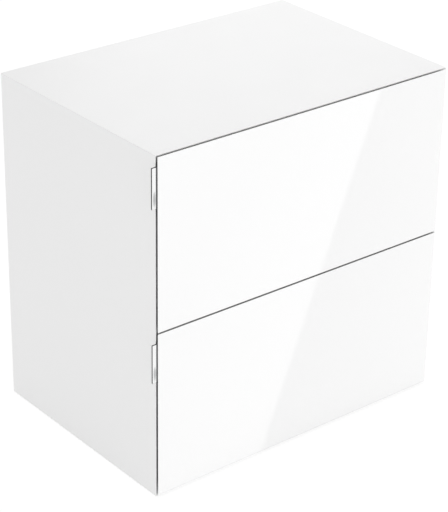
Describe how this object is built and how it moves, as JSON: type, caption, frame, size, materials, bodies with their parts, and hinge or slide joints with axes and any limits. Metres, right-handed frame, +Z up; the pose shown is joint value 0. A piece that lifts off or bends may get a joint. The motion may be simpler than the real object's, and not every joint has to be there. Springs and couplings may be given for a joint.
{
  "type": "sideboard with drawers",
  "caption": "White box-shaped sideboard with mitred edges and full-width drawers one above the other, each with a small chromed side pull tab; hangs on a wall or stands on its base.",
  "frame": {"origin": "middle of the base of the closed cabinet, on its underside", "axes": "+Z up; the drawers open towards -Y and the wall is at +Y; +X to the right for someone facing the front"},
  "size_m": [0.7105, 0.49, 0.7],
  "materials": {
    "white_lacquer": "smooth white lacquer on board",
    "white_back_board": "white faced back board",
    "raw_board": "unfinished board",
    "grey_melamine": "grey melamine faced board",
    "beech": "raw beech",
    "chromed_steel": "bright chrome",
    "zinc_steel": "zinc plated",
    "zinc_screw": "zinc plated",
    "ball_steel": "polished",
    "cage_plastic": "natural white"
  },
  "bodies": {
    "cabinet": {"back_panel": "white_back_board", "bottom_panel": "white_lacquer", "cabinet_member_screws": "zinc_screw", "lower_cabinet_member_left": "zinc_steel", "lower_cabinet_member_right": "zinc_steel", "mitre_biscuits": "beech", "rail_dowels": "beech", "side_left": "white_lacquer", "side_right": "white_lacquer", "top_panel": "white_lacquer", "upper_cabinet_member_left": "zinc_steel", "upper_cabinet_member_right": "zinc_steel", "wall_rail_lower": "raw_board", "wall_rail_upper": "raw_board"},
    "upper_drawer": {"upper_box_back": "grey_melamine", "upper_box_bottom": "grey_melamine", "upper_box_dowels": "beech", "upper_box_front": "grey_melamine", "upper_box_side_left": "grey_melamine", "upper_box_side_right": "grey_melamine", "upper_drawer_member_left": "zinc_steel", "upper_drawer_member_right": "zinc_steel", "upper_drawer_member_screws": "zinc_screw", "upper_front": "white_lacquer", "upper_front_screws": "zinc_screw", "upper_pull_tab": "chromed_steel", "upper_tab_screws": "zinc_screw"},
    "upper_middle_members": {"upper_middle_member_left": "zinc_steel", "upper_middle_member_right": "zinc_steel"},
    "upper_outer_cages": {"upper_outer_ball_cages": "cage_plastic", "upper_outer_balls": "ball_steel"},
    "upper_inner_cages": {"upper_inner_ball_cages": "cage_plastic", "upper_inner_balls": "ball_steel"},
    "lower_drawer": {"lower_box_back": "grey_melamine", "lower_box_bottom": "grey_melamine", "lower_box_dowels": "beech", "lower_box_front": "grey_melamine", "lower_box_side_left": "grey_melamine", "lower_box_side_right": "grey_melamine", "lower_drawer_member_left": "zinc_steel", "lower_drawer_member_right": "zinc_steel", "lower_drawer_member_screws": "zinc_screw", "lower_front": "white_lacquer", "lower_front_screws": "zinc_screw", "lower_pull_tab": "chromed_steel", "lower_tab_screws": "zinc_screw"},
    "lower_middle_members": {"lower_middle_member_left": "zinc_steel", "lower_middle_member_right": "zinc_steel"},
    "lower_outer_cages": {"lower_outer_ball_cages": "cage_plastic", "lower_outer_balls": "ball_steel"},
    "lower_inner_cages": {"lower_inner_ball_cages": "cage_plastic", "lower_inner_balls": "ball_steel"}
  },
  "joints": [
    {"name": "upper_drawer_slide", "type": "slide", "parent": "cabinet", "child": "upper_drawer", "axis": [0, -1, 0], "range_m": [0, 0.4]},
    {"name": "upper_middle_members_slide", "type": "slide", "parent": "cabinet", "child": "upper_middle_members", "axis": [0, -1, 0], "range_m": [0, 0.2]},
    {"name": "upper_outer_cages_slide", "type": "slide", "parent": "cabinet", "child": "upper_outer_cages", "axis": [0, -1, 0], "range_m": [0, 0.1]},
    {"name": "upper_inner_cages_slide", "type": "slide", "parent": "cabinet", "child": "upper_inner_cages", "axis": [0, -1, 0], "range_m": [0, 0.3]},
    {"name": "lower_drawer_slide", "type": "slide", "parent": "cabinet", "child": "lower_drawer", "axis": [0, -1, 0], "range_m": [0, 0.4]},
    {"name": "lower_middle_members_slide", "type": "slide", "parent": "cabinet", "child": "lower_middle_members", "axis": [0, -1, 0], "range_m": [0, 0.2]},
    {"name": "lower_outer_cages_slide", "type": "slide", "parent": "cabinet", "child": "lower_outer_cages", "axis": [0, -1, 0], "range_m": [0, 0.1]},
    {"name": "lower_inner_cages_slide", "type": "slide", "parent": "cabinet", "child": "lower_inner_cages", "axis": [0, -1, 0], "range_m": [0, 0.3]}
  ],
  "couplings": [
    {"joint": "upper_middle_members_slide", "follows": "upper_drawer_slide", "ratio": 0.5},
    {"joint": "upper_outer_cages_slide", "follows": "upper_drawer_slide", "ratio": 0.25},
    {"joint": "upper_inner_cages_slide", "follows": "upper_drawer_slide", "ratio": 0.75},
    {"joint": "lower_middle_members_slide", "follows": "lower_drawer_slide", "ratio": 0.5},
    {"joint": "lower_outer_cages_slide", "follows": "lower_drawer_slide", "ratio": 0.25},
    {"joint": "lower_inner_cages_slide", "follows": "lower_drawer_slide", "ratio": 0.75}
  ]
}
